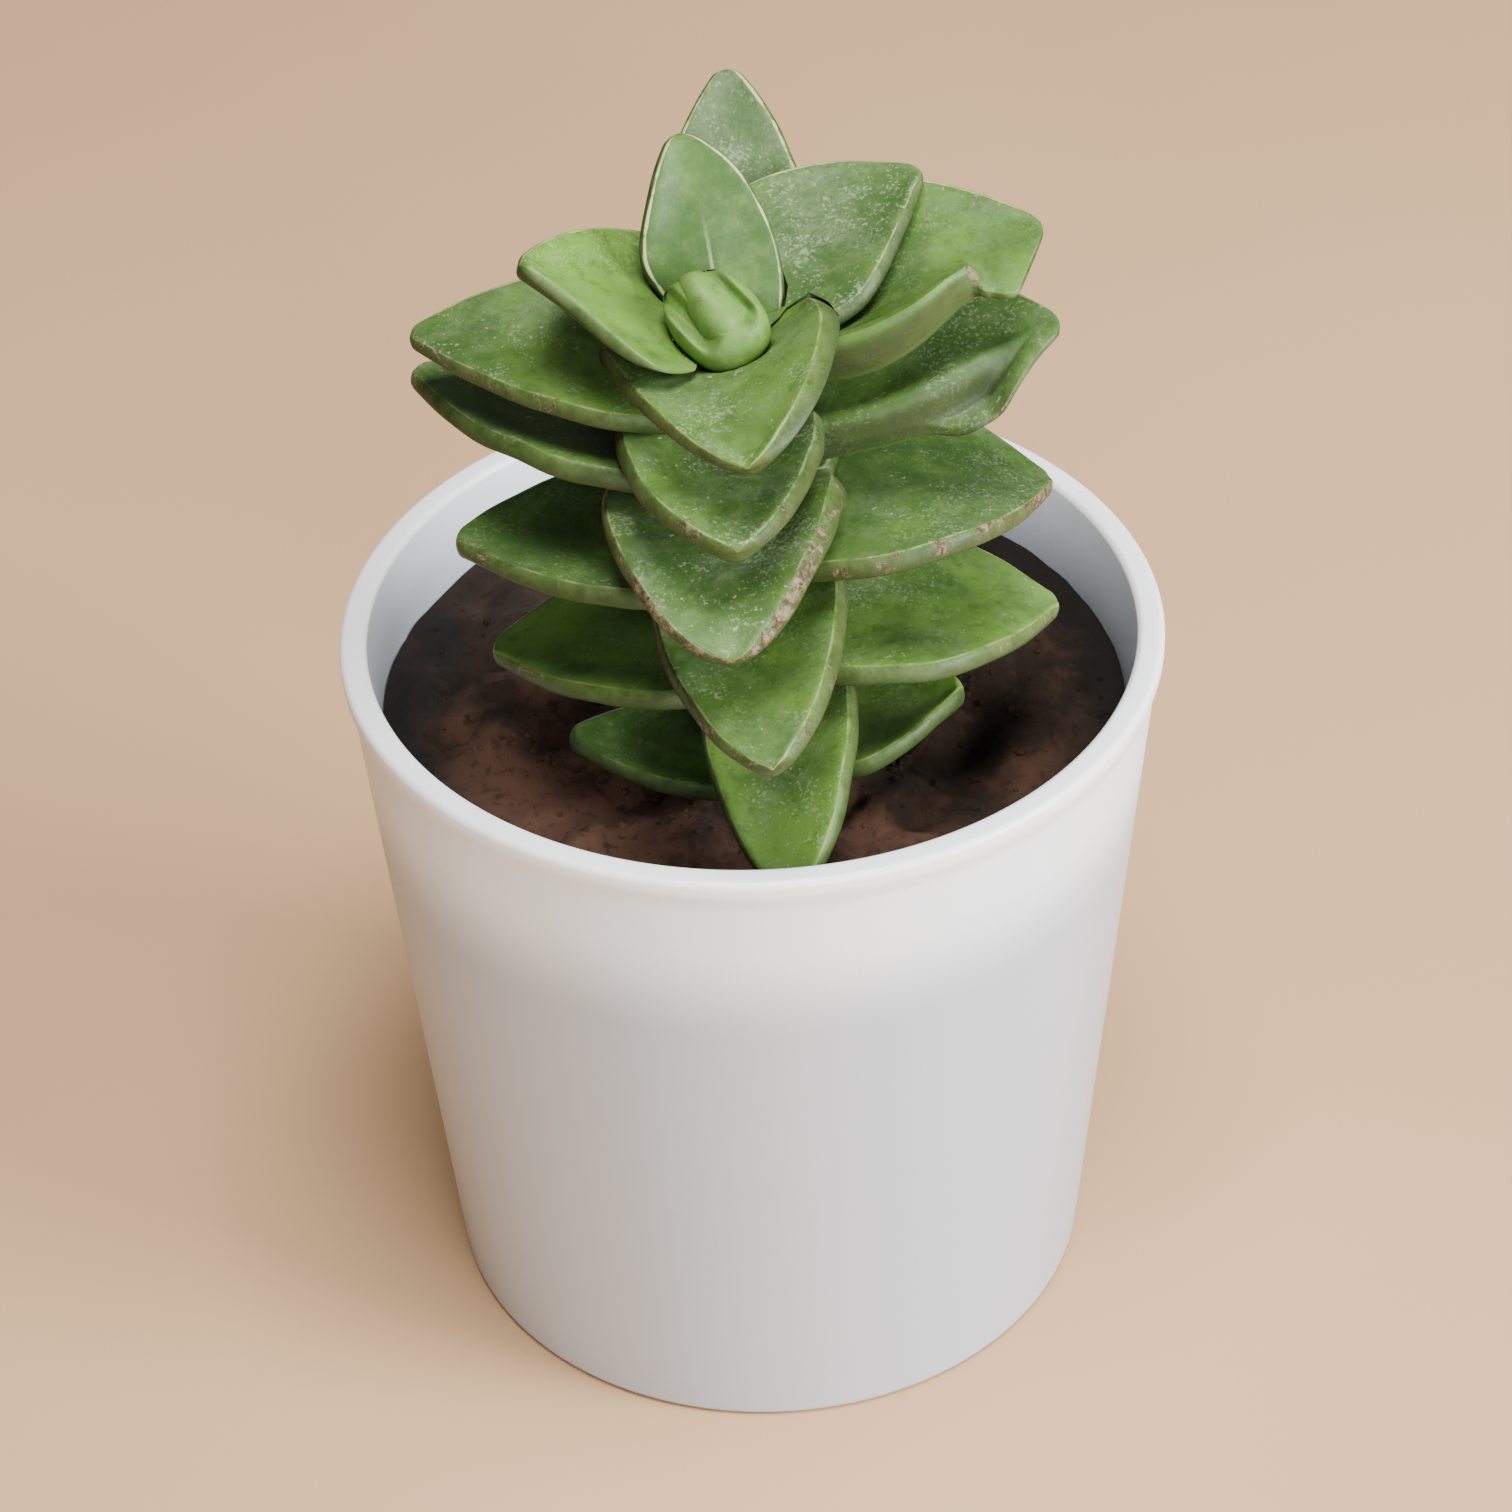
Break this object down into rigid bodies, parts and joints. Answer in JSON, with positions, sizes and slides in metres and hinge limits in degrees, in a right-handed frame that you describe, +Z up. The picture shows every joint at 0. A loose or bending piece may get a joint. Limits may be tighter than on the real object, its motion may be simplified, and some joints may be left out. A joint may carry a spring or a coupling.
{
  "type": "potted succulent",
  "caption": "Round tapered ceramic pot filled with soil, holding one small succulent with thick pointed leaves in crossed pairs up a stem; stands on its flat base",
  "frame": {"origin": "the middle of the pot's flat base, where the part stands on a surface", "axes": "+Z up along the pot's axis, -Y to the front, from which the plant was pictured, +X to its right"},
  "size_m": [0.09, 0.09, 0.1505],
  "materials": {
    "pot_ceramic": "matte, off-white",
    "soil": "rough, dark brown",
    "stem_skin": "matte, green-brown",
    "leaf_skin": "waxy matte, grey-green",
    "bud_skin": "waxy matte, fresh green"
  },
  "bodies": {
    "root": {"pot": "pot_ceramic", "soil": "soil", "stem": "stem_skin", "bud": "bud_skin", "leaf_01_front": "bud_skin", "leaf_01_back": "leaf_skin", "leaf_02_left": "leaf_skin", "leaf_02_right": "leaf_skin", "leaf_03_front": "leaf_skin", "leaf_03_back": "leaf_skin", "leaf_04_left": "leaf_skin", "leaf_04_right": "leaf_skin", "leaf_05_front": "leaf_skin", "leaf_05_back": "leaf_skin", "leaf_06_left": "leaf_skin", "leaf_06_right": "leaf_skin", "leaf_07_front": "leaf_skin", "leaf_07_back": "leaf_skin", "leaf_08_left": "leaf_skin", "leaf_08_right": "leaf_skin", "leaf_09_front": "leaf_skin", "leaf_09_back": "leaf_skin", "leaf_10_left": "leaf_skin", "leaf_10_right": "leaf_skin", "leaf_11_front": "leaf_skin", "leaf_11_back": "leaf_skin", "leaf_12_left": "leaf_skin", "leaf_12_right": "leaf_skin"}
  },
  "joints": []
}
